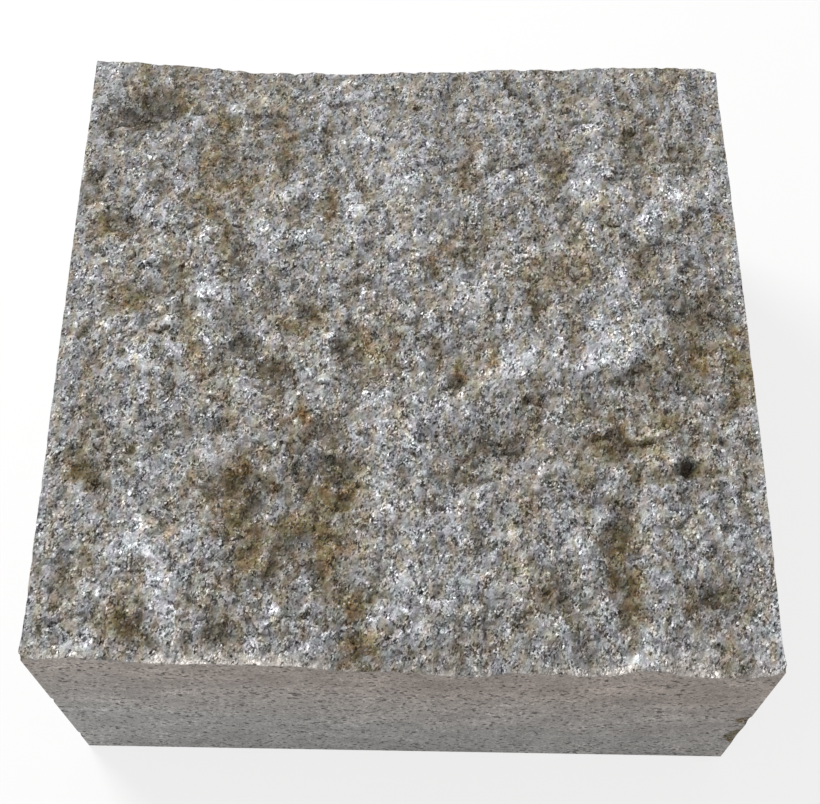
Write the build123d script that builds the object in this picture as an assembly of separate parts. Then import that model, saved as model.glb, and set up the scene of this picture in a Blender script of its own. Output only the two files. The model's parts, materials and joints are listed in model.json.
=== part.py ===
from build123d import *
import math
import os
from numpy import interp, linspace

# Granite kerb stone: one block with sawn ends, front, back and bed, and a split top.
# Millimetres, +Z up. The bed lies on z = 0, the front faces -Y, and the origin is the middle of the bed.

# Driving dimensions
kerb_width = 250.0      # along the front, from end to end
kerb_depth = 250.0      # from the front to the back
corner_height = 115.0   # from the bed up to the split face at its corners
out_of_square = 4.0     # how far the back stands to the left of the front
back_fall = 6.8         # deepest fall of the back arris below the corners
front_fall = 12.0       # deepest fall of the front arris below the corners
right_crown = 2.5       # rise of the right arris between its ends
swell_rise = 2.5        # rise of the strongest swell within the split face
pit_mouth = 10.0        # width of the largest pit in the split face
pit_depth = 3.0
spall_length = 21.0     # length of the largest spall along a sawn arris
spall_width = 5.2       # how far a spall reaches from the arris across the front
spall_depth = 0.6
chip_length = 12.0      # width of the largest chip at a corner of the split face
chip_depth = 3.4
cut_overrun = 12.0      # how far the splitting surface runs past the sawn faces

# The back and front arrises of the split face, from left to right: place across, fall
back_arris_shares = [
    (-0.50, 0.00), (-0.40, 0.25), (-0.30, 0.54), (-0.25, 1.00), (-0.09, 0.97), (0.00, 0.78),
    (0.10, 0.60), (0.16, 0.40), (0.26, 0.37), (0.31, 0.10), (0.50, 0.00),
]
front_arris_shares = [
    (-0.50, 0.12), (-0.42, 0.00), (-0.33, 0.30), (-0.19, 0.33), (-0.08, 0.74), (0.00, 0.78),
    (0.10, 1.00), (0.15, 0.68), (0.24, 0.82), (0.28, 0.72), (0.32, 0.28), (0.35, 0.32),
    (0.38, 0.68), (0.43, 0.76), (0.50, 0.30),
]
back_fade = 1.6         # power by which the fall of the back arris dies away towards the front
front_fade = 6.0        # power by which the fall of the front arris dies away towards the back

# Swells and hollows of the split face: place across, place along, reach along its own length and
# breadth, turn in degrees from the front's direction, rise (a hollow is below zero)
broad_swell_shares = [
    (0.18, -0.065, 0.190, 0.040, 15, 0.90),     # long rib that crosses the face on a slant
    (0.24, -0.130, 0.150, 0.045, 15, -0.60),    # drop in front of that rib
    (0.41, 0.220, 0.085, 0.036, 38, 0.80),      # short rib by the right end
    (-0.42, 0.390, 0.060, 0.055, 0, -1.00),     # hollow at the back left corner
    (0.12, -0.200, 0.060, 0.036, 0, -0.60),
    (0.31, -0.310, 0.150, 0.032, 90, -0.60),    # groove that runs to the front
    (-0.14, -0.290, 0.130, 0.075, 75, -0.85),   # wide hollow left of the middle
    (-0.37, -0.050, 0.100, 0.080, 90, 0.60),
    (-0.35, -0.340, 0.090, 0.080, 90, 0.70),
    (0.00, 0.300, 0.130, 0.060, 90, 0.55),
    (-0.18, 0.240, 0.100, 0.050, 90, 0.50),
    (0.12, 0.050, 0.080, 0.060, 60, 0.50),
    (-0.24, 0.030, 0.110, 0.040, 80, -0.50),
    (0.27, 0.130, 0.120, 0.040, 90, -0.50),
]
# Crests that stand on those swells, in the same order
crest_shares = [
    (0.01, 0.30, 0.024, 0.064, 0, 0.40), (0.30, -0.02, 0.044, 0.048, 0, 0.40),
    (0.17, -0.05, 0.040, 0.028, 20, 0.36), (0.12, 0.07, 0.024, 0.032, 0, 0.32),
    (-0.38, -0.05, 0.028, 0.044, 0, 0.36), (-0.35, -0.34, 0.028, 0.036, 0, 0.40),
    (-0.32, -0.41, 0.024, 0.048, 0, 0.24), (-0.28, 0.07, 0.032, 0.028, 0, 0.36),
    (-0.21, 0.16, 0.022, 0.040, 0, 0.32), (-0.16, 0.25, 0.036, 0.022, 30, 0.32),
    (-0.02, 0.23, 0.022, 0.040, -20, 0.28), (0.14, 0.26, 0.026, 0.026, 0, 0.32),
    (0.30, 0.27, 0.028, 0.036, 0, 0.36), (0.47, 0.28, 0.028, 0.028, 0, 0.28),
    (0.33, 0.09, 0.022, 0.036, 0, 0.28), (0.26, 0.16, 0.028, 0.032, 0, 0.24),
    (0.16, -0.36, 0.024, 0.040, 0, 0.24), (0.07, -0.42, 0.036, 0.036, 0, 0.16),
    (0.00, -0.39, 0.024, 0.056, 0, 0.24), (-0.02, -0.18, 0.028, 0.032, 0, 0.24),
    (-0.26, -0.19, 0.032, 0.024, 0, 0.24), (0.24, -0.30, 0.032, 0.024, 0, 0.20),
    (0.04, -0.12, 0.040, 0.024, 0, 0.20), (-0.46, 0.02, 0.024, 0.032, 0, 0.20),
    (0.12, 0.40, 0.032, 0.032, 0, 0.16),
]
# Pockets broken out between them, in the same order
pocket_shares = [
    (-0.41, 0.41, 0.088, 0.036, 45, -0.56), (-0.45, -0.23, 0.044, 0.048, 0, -0.45),
    (-0.22, -0.25, 0.056, 0.036, 10, -0.56), (-0.10, -0.24, 0.032, 0.080, 0, -0.50),
    (-0.17, -0.34, 0.056, 0.052, 0, -0.50), (-0.13, -0.18, 0.036, 0.036, 0, -0.34),
    (-0.07, -0.45, 0.032, 0.072, 0, -0.39), (-0.35, -0.46, 0.036, 0.032, 0, -0.45),
    (-0.24, -0.46, 0.036, 0.032, 0, -0.50), (-0.18, -0.07, 0.026, 0.026, 0, -0.50),
    (-0.23, -0.02, 0.032, 0.022, 0, -0.45), (-0.14, 0.04, 0.028, 0.026, 0, -0.39),
    (-0.08, -0.03, 0.028, 0.040, 0, -0.34), (0.12, -0.18, 0.052, 0.024, 15, -0.50),
    (0.31, -0.17, 0.026, 0.028, 0, -0.50), (0.30, -0.34, 0.022, 0.108, 0, -0.45),
    (0.42, -0.40, 0.036, 0.022, 0, -0.50), (0.22, -0.39, 0.032, 0.032, 0, -0.34),
    (0.43, 0.04, 0.040, 0.032, 0, -0.56), (0.48, -0.08, 0.032, 0.080, 0, -0.22),
    (0.36, 0.14, 0.028, 0.048, 0, -0.45), (0.36, 0.34, 0.022, 0.064, 0, -0.39),
    (-0.28, 0.34, 0.032, 0.056, 0, -0.34), (-0.44, 0.18, 0.028, 0.024, 0, -0.39),
    (-0.40, 0.07, 0.032, 0.022, 0, -0.34), (0.19, 0.06, 0.024, 0.036, 0, -0.39),
    (0.11, 0.17, 0.036, 0.036, 0, -0.28), (-0.33, -0.16, 0.040, 0.032, 0, -0.28),
    (-0.46, -0.38, 0.032, 0.032, 0, -0.28), (0.23, 0.30, 0.024, 0.040, 0, -0.28),
    (0.12, -0.45, 0.032, 0.032, 0, -0.22), (-0.21, 0.06, 0.024, 0.040, 0, -0.28),
]
# Pits in the split face: place across, place along, size
pit_shares = [(0.395, -0.218, 1.00), (0.075, -0.085, 0.70)]
# Spalls beside the upright arris at the front right: place up it, length
spall_shares = [(0.465, 0.48), (0.280, 1.00)]
# Chips at the corners of the split face: place across, place along, size
chip_shares = [(0.5, 0.5, 1.00), (-0.5, -0.5, 0.35), (0.5, -0.5, 0.35)]
# Sections through which the splitting surface is lofted, and points along each of them
split_sections = 44
section_points = 44


def plan_place(across_share, along_share):
    # A place in plan: the stone leans to the left towards its back
    return Vector(across_share * kerb_width - along_share * out_of_square, along_share * kerb_depth)


def split_height(across_share, along_share):
    # Height of the split face: the falls of both arrises, each dying away from its own edge, the
    # crown of the right arris, and the swells, each an oval mound with its own turn
    from_front_share = min(max(along_share + 0.5, 0), 1)
    back_share = interp(across_share, *zip(*back_arris_shares))
    front_share = interp(across_share, *zip(*front_arris_shares))
    height = corner_height
    height -= back_fall * back_share * from_front_share**back_fade
    height -= front_fall * front_share * (1 - from_front_share) ** front_fade
    from_left_share = min(max(across_share + 0.5, 0), 1)
    height += right_crown * from_left_share**2 * max(1 - (2 * along_share) ** 2, 0)
    swell_shares = broad_swell_shares + crest_shares + pocket_shares
    for swell_across, swell_along, length_share, breadth_share, turn, rise_share in swell_shares:
        offset = Vector(across_share - swell_across, along_share - swell_along).rotate(Axis.Z, -turn)
        spread = (offset.X / length_share) ** 2 + (offset.Y / breadth_share) ** 2
        height += swell_rise * rise_share * math.exp(-spread)
    return height


def split_place(across_share, along_share):
    # A point on the split face
    return plan_place(across_share, along_share) + Vector(0, 0, split_height(across_share, along_share))


def sawn_block(height):
    # The block as sawn, before it is split
    corners = [plan_place(-0.5, -0.5), plan_place(0.5, -0.5), plan_place(0.5, 0.5), plan_place(-0.5, 0.5)]
    return extrude(make_face(Polyline(*corners, close=True)), amount=height)


def waste_above_split(height):
    # The waste above the split face: a loft through sections of the face, from front to back,
    # swept straight up
    across_reach_share = 0.5 + (cut_overrun + out_of_square) / kerb_width
    along_reach_share = 0.5 + cut_overrun / kerb_depth
    across_shares = linspace(-across_reach_share, across_reach_share, section_points)
    sections = []
    for along_share in linspace(-along_reach_share, along_reach_share, split_sections):
        places = [split_place(across_share, along_share) for across_share in across_shares]
        sections.append(Wire([Spline(*places)]))
    return extrude(Shell.make_loft(sections).face(), amount=height, dir=(0, 0, 1))


def scoop(place, outward, length, depth):
    # A shell-shaped chip: the ball that cuts a hollow of this length and depth at a place, with its
    # poles to the left and right, clear of the hollow
    radius = ((length / 2) ** 2 + depth**2) / (2 * depth)
    return Pos(place + outward.normalized() * (radius - depth)) * Rot(0, 90, 0) * Sphere(radius)


def spall(height_share, length_share):
    # A shallow shell off the front: its round mouth is cut off by the upright arris, so that it runs
    # its length along the arris and its width across the front
    mouth_radius = ((spall_length * length_share / 2) ** 2 + spall_width**2) / (2 * spall_width)
    past_arris = Vector(mouth_radius - spall_width, 0, corner_height * height_share)
    return scoop(plan_place(0.5, -0.5) + past_arris, Vector(0, -1, 0), 2 * mouth_radius, spall_depth)


def make_kerb_stone():
    stock_height = corner_height + right_crown + swell_rise + cut_overrun
    stone = sawn_block(stock_height) - waste_above_split(stock_height)
    for across_share, along_share, size_share in pit_shares:
        place = split_place(across_share, along_share)
        stone -= scoop(place, Vector(0, 0, 1), pit_mouth * size_share, pit_depth * size_share)
    for height_share, length_share in spall_shares:
        stone -= spall(height_share, length_share)
    for across_share, along_share, size_share in chip_shares:
        place = split_place(across_share, along_share)
        outward = Vector(math.copysign(1, across_share), math.copysign(1, along_share), 1)
        stone -= scoop(place, outward, chip_length * size_share, chip_depth * size_share)
    return stone


os.makedirs("parts", exist_ok=True)
export_step(make_kerb_stone(), "parts/kerb_stone.step")
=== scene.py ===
import json
import math
import bpy
import numpy as np
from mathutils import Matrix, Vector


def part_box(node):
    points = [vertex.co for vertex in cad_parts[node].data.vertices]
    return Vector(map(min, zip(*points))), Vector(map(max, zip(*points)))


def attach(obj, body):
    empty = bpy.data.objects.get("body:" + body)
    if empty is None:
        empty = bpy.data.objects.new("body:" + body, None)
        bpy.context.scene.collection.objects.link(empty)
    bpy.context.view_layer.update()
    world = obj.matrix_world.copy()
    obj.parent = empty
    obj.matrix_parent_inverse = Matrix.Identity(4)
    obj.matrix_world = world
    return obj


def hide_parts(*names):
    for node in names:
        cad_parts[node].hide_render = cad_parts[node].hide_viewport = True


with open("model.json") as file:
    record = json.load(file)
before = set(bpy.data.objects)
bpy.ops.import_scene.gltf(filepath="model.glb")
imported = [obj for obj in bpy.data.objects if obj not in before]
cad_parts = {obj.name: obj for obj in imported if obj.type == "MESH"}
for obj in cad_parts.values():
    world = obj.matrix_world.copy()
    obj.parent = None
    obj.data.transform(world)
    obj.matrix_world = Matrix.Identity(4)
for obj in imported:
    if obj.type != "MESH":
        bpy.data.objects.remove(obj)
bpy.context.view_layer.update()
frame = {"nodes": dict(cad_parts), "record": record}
mm = 0.001
print("frame loaded")

# the sawn block, read from the CAD: plan size, and how far the back leans to the left of the front
boxLow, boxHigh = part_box("kerb_stone")
endAxis = next(m["axis"] for m in frame["record"]["mounts"] if m["name"] == "right_end")
depth = boxHigh.y - boxLow.y
lean = depth * endAxis[1] / endAxis[0]
width = boxHigh.x - boxLow.x - lean
topLevel = boxHigh.z / mm


def cloud(shape, reach):
    # random field with no mean and unit spread: white noise whose waves shorter than the reach, in grid
    # cells along each axis, are damped by a bell curve
    waves = np.fft.rfft2(rng.standard_normal(shape))
    alongRows = np.fft.fftfreq(shape[0])[:, None] * reach[0]
    acrossRows = np.fft.rfftfreq(shape[1])[None, :] * reach[1]
    field = np.fft.irfft2(waves * np.exp(-2 * math.pi**2 * (alongRows**2 + acrossRows**2)), shape)
    return (field - field.mean()) / field.std()


def topCloud(back, across):
    # such a field over the top's grid, its reach in mm from front to back and across
    return cloud(shape, (back / pitch, across / pitch))


def ovals(x, y, rows):
    # sum of oval mounds, each a bell curve of the distance from its middle in its own turned axes
    midX, midY, length, breadth, turn, rise = (c[:, None, None] for c in np.array(rows, float).T)
    turn = np.radians(turn)
    along = (x - midX) * np.cos(turn) + (y - midY) * np.sin(turn)
    aside = (y - midY) * np.cos(turn) - (x - midX) * np.sin(turn)
    return (rise * np.exp(-((along / length) ** 2 + (aside / breadth) ** 2))).sum(0)


def strokes(x, y, rows):
    # sum of straight strokes, each a bell curve of the distance from its own line
    total = np.zeros(x.shape)
    for startX, startY, endX, endY, half, strength in rows:
        runX, runY = endX - startX, endY - startY
        share = np.clip(((x - startX) * runX + (y - startY) * runY) / max(runX**2 + runY**2, 1), 0, 1)
        away = np.hypot(x - startX - share * runX, y - startY - share * runY)
        total += strength * np.exp(-((away / half) ** 2))
    return total


def heightBelow(x, y):
    # height of the CAD stone under each point: a sheet of loose points is dropped straight down onto it
    sheet = bpy.data.meshes.new("dropSheet")
    start = boxHigh.z + splitTop["dropFrom"] * mm
    loose = np.column_stack([x.ravel(), y.ravel(), np.full(x.size, start)])
    sheet.vertices.add(len(loose))
    sheet.vertices.foreach_set("co", loose.ravel())
    dropper = bpy.data.objects.new("dropSheet", sheet)
    bpy.context.scene.collection.objects.link(dropper)
    wrap = dropper.modifiers.new("drop", "SHRINKWRAP")
    wrap.target = frame["nodes"]["kerb_stone"]
    wrap.wrap_method = "PROJECT"
    wrap.use_project_z = True
    wrap.use_positive_direction = False
    wrap.use_negative_direction = True
    landed = bpy.data.meshes.new_from_object(dropper.evaluated_get(bpy.context.evaluated_depsgraph_get()))
    flat = np.zeros(len(loose) * 3)
    landed.vertices.foreach_get("co", flat)
    bpy.data.objects.remove(dropper)
    bpy.data.meshes.remove(sheet)
    bpy.data.meshes.remove(landed)
    return flat.reshape(-1, 3)[:, 2].reshape(x.shape)


def smooth(value, start, end):
    # rises from 0 at start to 1 at end along a smooth cubic
    t = np.clip((value - start) / (end - start), 0, 1)
    return t * t * (3 - 2 * t)


def soften(field, reach):
    # the field with waves shorter than the reach, in grid cells, damped by a bell curve; edges are mirrored
    edge = cells // 4
    padded = np.pad(field, edge, mode="reflect")
    alongRows = np.fft.fftfreq(padded.shape[0])[:, None] * reach
    acrossRows = np.fft.rfftfreq(padded.shape[1])[None, :] * reach
    damped = np.fft.rfft2(padded) * np.exp(-2 * math.pi**2 * (alongRows**2 + acrossRows**2))
    return np.fft.irfft2(damped, padded.shape)[edge:-edge, edge:-edge]


def brokenFacets(x, y, size, slope, step):
    # the plan is shared out among scattered points, and each share is a flat with its own tilt and height
    most = splitTop["facetMost"]
    startX = np.floor(x / size).min() - 1
    startY = np.floor(y / size).min() - 1
    column = (np.floor(x / size) - startX).astype(int)
    row = (np.floor(y / size) - startY).astype(int)
    homes = rng.uniform(size=(2, row.max() + 2, column.max() + 2))
    tilts = np.clip(rng.normal(0, slope, homes.shape), -most * slope, most * slope)
    steps = np.clip(rng.normal(0, step, homes.shape[1:]), -most * step, most * step)
    nearest = np.full(x.shape, np.inf)
    height = np.zeros(x.shape)
    for down in (-1, 0, 1):
        for right in (-1, 0, 1):
            home = (row + down, column + right)
            offX = x - (home[1] + startX + homes[0][home]) * size
            offY = y - (home[0] + startY + homes[1][home]) * size
            away = offX**2 + offY**2
            own = tilts[0][home] * offX + tilts[1][home] * offY + steps[home]
            height = np.where(away < nearest, own, height)
            nearest = np.minimum(away, nearest)
    return height


# sizes and places are in mm, places from the middle of the stone, x to the right and y to the back;
# features are placed after the photograph
splitTop = {
    "cells": 272,               # grid cells each way, a multiple of 4
    "seed": 7,
    "jitter": 0.22,             # how far grid points stray, so that no rows show
    "inset": 0.9995,            # the CAD face is read this share of the way out, so that no point misses it
    "dropFrom": 50.0,           # height above the stone from which points are dropped onto it
    "cornerHeight": 115.0,      # level that the arris falls are taken from
    "strayFine": (1.3, 1.5),    # how far outlines stray, and over how long a stretch
    "strayBroad": (1.8, 4.0),
    "strokeHeight": 0.8,        # ribs and grooves listed one by one
    "hackleHeight": 0.32,       # ribs left by the split
    "hackleReach": (9.0, 3.2),  # front to back, and across
    "lumpHeight": 0.24,
    "lumpReach": (2.4, 2.0),
    "gritHeight": 0.16,
    "gritReach": (0.9, 0.8),
    "facets": [(6.0, 0.12, 0.18), (3.0, 0.20, 0.13)],   # broken facets: size, slope, step
    "facetMost": 1.6,           # steepest slope and tallest step, as multiples of the usual ones
    "calm": (0.12, 8.0),        # share of the relief left at an arris, and how far in it is whole
    "rimStray": 0.6,            # how ragged the rim of a pit is
    "pitShadeDepth": 2.0,           # depth from which a pit is painted quite dark, as shade
    "ledgeRun": 0.7,            # breadth of a ledge's drop
    "ledgeFade": 4.0,           # breadth over which it fades on both sides
    "cavityReach": 5.0,         # a place is high or low against those this near
    "arrisReach": 6.0,          # how far in the front and back arrises draw the face to their own lines
    "arrisRough": (0.25, 0.2),  # lumps and grit left on those lines
    "press": 0.5,               # peaks that come this near the CAD's top are pressed down
    "sharpAngle": 48,           # degrees, edges sharper than this are not smoothed
    # fall of the front and back arris below the corners: place, fall
    "frontArris": [
        (-125, 0.0), (-120, 1.6), (-106, -1.2), (-95, 1.2), (-82, 3.7), (-46, 3.8), (-29, 6.0), (-20, 9.0),
        (-1, 9.1), (13, 11.5), (26, 13.0), (36, 8.0), (45, 8.5), (57, 10.0), (69, 9.3), (76, 4.4),
        (81, 3.0), (87, 3.7), (91, 8.0), (105, 9.4), (116, 8.4), (120, 6.6), (123, 4.0), (125, 1.0),
    ],
    "backArris": [
        (-125, 0.0), (-100, 1.8), (-76, 3.7), (-62, 6.9), (-43, 6.2), (-22, 6.7), (-2, 5.3), (14, 4.4),
        (27, 4.1), (39, 2.7), (65, 2.5), (75, 0.8), (99, 0.4), (125, 0.0),
    ],
    # low and high places, for tone, painted dark as shade and dirt and pale as light and clean stone, and
    # stains: x, y, half length, half breadth, turn in degrees, strength
    "hollows": [
        (-105, 103, 24, 11, 45, 0.8), (-112, -58, 11, 12, 0, 1.0), (-54, -62, 14, 9, 10, 1.0),
        (-25, -60, 8, 20, 0, 0.7), (-42, -86, 14, 13, 0, 0.7), (-33, -44, 9, 9, 0, 0.6),
        (-17, -112, 8, 18, 0, 0.4), (-88, -115, 9, 8, 0, 0.8), (-60, -115, 9, 8, 0, 1.1),
        (-45, -18, 6, 6, 0, 0.9), (-58, -5, 8, 5, 0, 0.6), (-34, 10, 7, 6, 0, 0.7),
        (-20, -8, 7, 10, 0, 0.6), (31, -45, 14, 7, 25, 1.1), (20, -57, 8, 6, 0, 0.8),
        (78, -42, 6, 7, 0, 1.1), (76, -86, 5, 27, 0, 1.1), (100, -53, 5, 5, 0, 1.0),
        (104, -101, 11, 6, 20, 1.0), (55, -98, 8, 8, 0, 0.6), (83, -18, 10, 4, 25, 1.6),
        (110, 8, 13, 10, 0, 1.1), (115, 20, 5, 7, 0, 0.5), (103, -15, 5, 12, 0, 0.5),
        (120, -20, 8, 20, 0, 0.4), (90, 35, 7, 12, 0, 0.8), (89, 85, 5, 16, 0, 0.4),
        (-70, 84, 8, 14, 0, 0.6), (-48, 80, 5, 8, 0, 0.5), (-110, 45, 7, 6, 0, 1.3),
        (-122, 65, 5, 8, 0, 1.1), (-97, 68, 6, 6, 0, 0.4), (-66, 40, 5, 12, 35, 0.2),
        (-100, 18, 8, 5, 0, 1.1), (48, 15, 6, 9, 0, 0.7), (28, 42, 9, 9, 0, 0.5), (-18, 23, 8, 4, 30, 0.6),
        (-52, 15, 6, 10, 0, 1.3), (15, -5, 4, 6, 0, 0.9), (22, -20, 5, 4, 0, 0.6),
        (-82, -40, 10, 8, 0, 0.5), (-115, -95, 8, 8, 0, 0.5), (107, 75, 6, 10, 0, 0.4),
        (58, 75, 6, 10, 0, 0.5), (-55, 100, 10, 6, 0, 0.2), (20, 82, 4, 10, 0, 0.5),
        (30, -112, 8, 8, 0, 0.4), (-30, 62, 4, 8, 0, 0.4), (-88, 108, 8, 6, 0, 0.6),
        (-107, 98, 4, 3, 0, 0.8), (-99, 106, 5, 3, 0, 0.7), (104, -56, 4, 4, 0, 0.5),
    ],
    "rises": [
        (2, 76, 6, 16, 0, 2.0), (-14, 93, 6, 6, 0, 0.6), (75, -5, 11, 12, 0, 0.6),
        (42, -12, 10, 7, 20, 0.9), (30, 17, 6, 8, 0, 0.8), (40, 5, 6, 6, 0, 0.5), (-94, -12, 7, 11, 0, 0.9),
        (-88, -85, 7, 9, 0, 0.7), (-80, -102, 6, 12, 0, 0.6), (-95, -71, 5, 6, 0, 0.1),
        (-70, 18, 8, 7, 0, 0.9), (-52, 40, 5, 10, 0, 0.8), (-40, 63, 9, 5, 30, 1.7),
        (-5, 58, 5, 10, -20, 0.7), (-22, 50, 3, 10, 0, 1.9), (36, 65, 6, 6, 0, 1.5), (30, 80, 4, 5, 0, 0.9),
        (74, 68, 7, 9, 0, 0.9), (73, 95, 3, 14, 0, 0.7), (99, 57, 14, 5, 45, 1.8), (118, 70, 7, 7, 0, 0.7),
        (82, 22, 5, 9, 0, 1.4), (65, 40, 7, 8, 0, 1.5), (8, 43, 5, 5, 0, 0.5), (40, -90, 6, 10, 0, 1.8),
        (20, -68, 9, 5, 30, 0.5), (18, -105, 9, 9, 0, 1.3), (0, -97, 6, 14, 0, 0.6),
        (-5, -45, 7, 8, 0, 0.6), (10, -30, 10, 6, 0, 1.1), (-65, -48, 8, 6, 0, 0.2),
        (-73, -80, 5, 6, 0, 0.6), (-48, -118, 10, 5, 0, 0.6), (75, -118, 8, 6, 0, 0.3),
        (95, -122, 10, 4, 0, 1.6), (-75, -121, 5, 5, 0, 0.7), (-118, 30, 6, 6, 0, 0.2),
        (-95, 52, 7, 5, 0, 0.6), (60, -75, 8, 6, 0, 1.0), (-33, -8, 7, 4, 40, 0.6),
        (118, -40, 6, 10, 0, 0.4), (30, 100, 8, 8, 0, 0.4), (-115, 5, 6, 8, 0, 0.2), (45, 30, 5, 6, 0, 1.0),
        (-72, 99, 3, 3, 0, 1.1), (-84, -78, 4, 4, 0, 1.2), (-19, -82, 4, 4, 0, 1.4),
    ],
    "rust": [
        (-22, -62, 8, 7, 0, 1.0), (-30, -78, 9, 4, -20, 1.0), (-15, -110, 5, 13, 0, 1.4),
        (-42, -87, 10, 9, 0, 1.0), (-62, -65, 12, 12, 0, 0.55), (-53, -55, 4, 8, 0, 1.1),
        (-35, -38, 6, 8, 0, 0.7), (-12, -10, 9, 12, 0, 0.7), (19, -20, 4, 5, 0, 1.5),
        (-34, 6, 7, 5, 0, 0.9), (80, -43, 7, 8, 0, 1.1), (78, -90, 4, 22, 0, 0.8),
        (121, -12, 5, 14, 0, 0.9), (103, -8, 5, 9, 0, 0.8), (108, 12, 8, 8, 0, 0.5),
        (95, -35, 14, 8, 0, 0.4), (52, 20, 6, 10, 0, 0.7), (45, 30, 5, 6, 0, 0.5), (30, 40, 8, 10, 0, 0.5),
        (24, 72, 5, 16, 0, 0.1), (58, 70, 5, 14, -12, 0.9), (92, 85, 8, 10, 0, 0.4),
        (-48, 92, 6, 10, 0, 0.6), (-68, 68, 14, 14, 0, 0.5), (-72, 99, 3, 3, 0, 0.9),
        (-88, 108, 10, 10, 0, 0.5), (-105, 115, 8, 8, 0, 0.4), (-108, 43, 8, 6, 0, 0.9),
        (-100, 10, 10, 9, 0, 0.7), (-112, -55, 10, 7, 0, 0.6), (-47, -18, 6, 8, 0, 0.5),
        (-65, 35, 6, 8, 0, 0.1), (-84, -78, 3, 3, 0, 0.6), (-60, -112, 8, 8, 0, 0.4),
        (-90, -115, 8, 8, 0, 0.4), (-115, -92, 8, 8, 0, 0.4), (13, 32, 5, 6, 0, 0.4),
        (103, -56, 4, 4, 0, 1.2), (104, -101, 9, 5, 20, 0.5), (55, -98, 7, 7, 0, 0.5),
        (83, -18, 9, 4, 25, 0.4),
    ],
    # ribs above zero and grooves below, with painted light on ribs and painted shade in grooves: start x, y,
    # end x, y, half breadth, strength
    "strokes": [
        (-31, 108, -34, 94, 2.0, 0.8), (-59, 116, -65, 92, 2.5, 0.8), (-14, 90, -21, 62, 2.2, 0.9),
        (-21, 62, -20, 42, 2.0, 1.0), (-45, 59, -32, 68, 3.5, 0.8), (-51, 46, -49, 33, 3.0, 0.7),
        (-76, 47, -76, 43, 2.0, 0.7), (-102, 72, -102, 58, 2.2, 0.7), (-99, 57, -97, 54, 2.4, 0.9),
        (-93, 49, -92, 46, 2.4, 0.7), (-119, 52, -116, 49, 3.0, 0.8), (-117, 26, -115, 23, 3.0, 0.8),
        (-77, 14, -66, 15, 4.0, 0.8), (-26, 31, -25, 18, 2.2, 0.7), (-108, 2, -106, 0, 2.0, 0.7),
        (-16, 88, -10, 84, 3.0, 0.6), (-5, 64, -2, 62, 2.4, 0.7), (-24, 117, -21, 114, 3.0, 0.8),
        (48, 110, 46, 104, 2.4, 0.6), (76, 98, 74, 93, 3.0, 0.9), (72, 78, 70, 62, 3.5, 0.6),
        (92, 118, 91, 113, 2.0, 0.8), (109, 113, 112, 101, 1.6, 0.8), (90, 45, 96, 52, 2.6, 1.0),
        (96, 53, 106, 61, 3.5, 1.0), (121, 70, 118, 61, 3.0, 0.6), (46, 49, 52, 51, 2.0, 0.7),
        (61, 36, 61, 34, 2.0, 0.9), (81, 28, 82, 24, 2.5, 0.8), (86, 19, 86, 15, 2.5, 0.8),
        (24, 10, 28, 13, 3.5, 0.9), (38, 6, 40, 2, 2.5, 0.8), (72, 13, 71, 9, 2.0, 0.7),
        (1, 74, 3, 68, 3.5, 1.0), (4, 96, 4, 93, 2.0, 0.7), (11, 89, 11, 83, 2.0, 0.8),
        (34, 66, 33, 59, 2.4, 0.7), (30, 79, 28, 75, 2.2, 0.7), (-93, -6, -91, -22, 3.0, 0.9),
        (-55, -15, -62, -22, 3.0, 0.6), (-47, -37, -47, -38, 2.0, 0.8), (-93, -54, -92, -54, 2.0, 0.8),
        (-82, -54, -74, -58, 3.5, 0.7), (-69, -50, -68, -54, 3.0, 0.7), (-100, -86, -100, -89, 2.0, 1.0),
        (-90, -82, -88, -89, 3.0, 1.0), (-84, -93, -82, -98, 2.6, 0.7), (-79, -98, -78, -122, 2.5, 0.6),
        (-70, -112, -67, -121, 2.5, 0.6), (-43, -105, -42, -107, 2.0, 0.9),
        (-29, -112, -27, -124, 2.4, 0.6), (-103, -115, -102, -120, 2.2, 0.9),
        (-7, -104, -8, -109, 2.0, 0.8), (-6, -36, -8, -48, 3.0, 0.6), (-33, -3, -38, -10, 2.4, 0.8),
        (-74, -3, -71, -5, 2.0, 0.8), (29, -22, 45, -11, 2.6, 0.7), (45, -11, 58, -4, 2.4, 0.5),
        (58, -19, 84, -9, 3.0, 1.1), (65, 2, 76, -2, 4.0, 0.7), (45, -84, 47, -82, 2.0, 0.8),
        (43, -92, 39, -100, 2.5, 0.9), (0, -94, 1, -99, 2.5, 0.8), (2, -42, 5, -47, 3.0, 0.9),
        (104, -81, 109, -79, 2.2, 0.9), (27, -63, 26, -70, 2.5, 0.7), (70, -121, 79, -122, 3.0, 0.7),
        (94, -122, 102, -121, 2.5, 0.7), (18, -76, 22, -80, 3.0, 0.6), (-109, 97, -103, 97, 3.0, -1.2),
        (-101, 104, -91, 102, 2.4, -1.1), (-115, 92, -110, 96, 3.0, -0.7), (-111, 45, -106, 43, 2.6, -0.9),
        (-97, 68, -96, 63, 2.4, -0.8), (-71, 49, -60, 28, 2.2, -0.8), (-48, 79, -46, 73, 2.4, -0.8),
        (-101, 21, -101, 17, 2.4, -0.9), (-35, 11, -33, 7, 2.8, -0.8), (-16, 26, -13, 22, 2.4, -0.8),
        (-4, 7, -2, 4, 2.4, -0.7), (-49, 20, -48, 19, 2.0, -0.8), (-51, 11, -50, 9, 2.4, -0.8),
        (-32, 88, -31, 85, 2.2, -0.8), (-29, 108, -28, 94, 2.0, -0.7), (-87, 23, -85, 21, 2.2, -0.7),
        (31, 71, 42, 74, 1.3, -0.8), (42, 74, 50, 80, 1.3, -0.7), (88, 91, 86, 66, 2.2, -0.6),
        (62, 84, 57, 60, 2.6, -0.5), (95, 96, 94, 80, 2.2, -0.6), (21, 95, 24, 62, 2.4, -0.2),
        (43, 113, 50, 116, 1.6, -0.8), (51, 109, 51, 106, 1.8, -0.7), (108, 98, 109, 94, 2.5, -0.7),
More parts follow.
